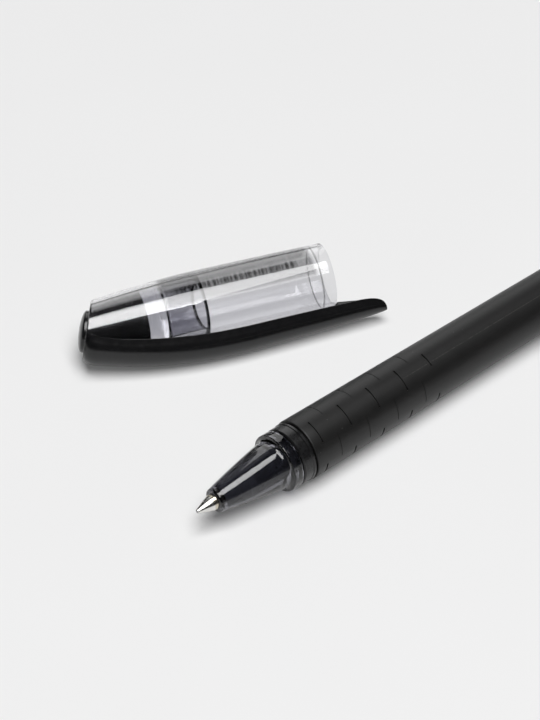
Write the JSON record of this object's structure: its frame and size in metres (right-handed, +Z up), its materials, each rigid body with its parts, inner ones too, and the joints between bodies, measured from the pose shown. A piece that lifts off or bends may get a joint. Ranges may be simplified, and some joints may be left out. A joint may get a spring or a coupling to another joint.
{
  "type": "capped ballpoint pen",
  "caption": "Black ballpoint pen with a slit soft grip, a smoke-clear screw-off nose and a metal point, lying beside its clear cap with a springy black clip.",
  "frame": {"origin": "middle of the table area that the pen and its cap take up, on the table top", "axes": "+X along the pen from its tip to its tail, +Y from the pen towards its cap, +Z up"},
  "size_m": [0.1256, 0.0558, 0.0124],
  "materials": {
    "soft_black": "soft-touch matt black",
    "hard_black": "semi-gloss black",
    "gloss_black": "gloss black",
    "smoke_clear": "see-through smoke grey",
    "tinted_clear": "see-through, faintly tinted",
    "clear": "clear, polished",
    "frosted": "frosted, half see-through",
    "nickel": "turned nickel silver",
    "carbide": "polished",
    "ink_black": "wet black ink",
    "grease": "pale clear grease"
  },
  "bodies": {
    "pen": {"barrel_tube": "hard_black", "grip_sleeve": "soft_black", "tail_plug": "gloss_black"},
    "refill": {"refill_tube": "frosted", "tip_holder": "frosted", "tip_socket": "nickel", "ink_column": "ink_black"},
    "nose": {"nose_cone": "smoke_clear"},
    "ball": {"writing_ball": "carbide"},
    "valve": {"valve_ball": "carbide"},
    "follower": {"ink_follower": "grease"},
    "cap": {"cap_shell": "clear", "inner_cap": "tinted_clear", "cap_crown": "gloss_black", "clip_base": "gloss_black"},
    "clip": {"clip_arm": "gloss_black"}
  },
  "joints": [
    {"name": "refill_slide", "type": "slide", "parent": "pen", "child": "refill", "axis": [-1, 0, 0], "range_m": [0, 0.008]},
    {"name": "nose_unscrew", "type": "hinge", "parent": "refill", "child": "nose", "pos_m": [-0.04346, -0.02235, 0.00556], "axis": [-1, 0, 0], "range_deg": [0, 1440]},
    {"name": "ball_roll", "type": "hinge", "parent": "refill", "child": "ball", "pos_m": [-0.06241, -0.02235, 0.00556], "axis": [0, 1, 0], "continuous": true},
    {"name": "valve_lift", "type": "slide", "parent": "refill", "child": "valve", "axis": [1, 0, 0], "range_m": [0, 0.00035]},
    {"name": "follower_travel", "type": "slide", "parent": "refill", "child": "follower", "axis": [-1, 0, 0], "range_m": [0, 0.068], "deforming": ["ink_column"]},
    {"name": "cap_pull", "type": "slide", "parent": "pen", "child": "cap", "axis": [-0.9276, 0.3736, 0], "range_m": [0, 0.045]},
    {"name": "clip_flex", "type": "hinge", "parent": "cap", "child": "clip", "pos_m": [-0.04677, 0.01954, 0.00502], "axis": [0.1229, 0.305, -0.9444], "range_deg": [0, 3], "stiffness_Nm_per_rad": 0.05}
  ],
  "couplings": [
    {"joint": "nose_unscrew", "follows": "refill_slide", "rad_per_m": 3141.6}
  ]
}
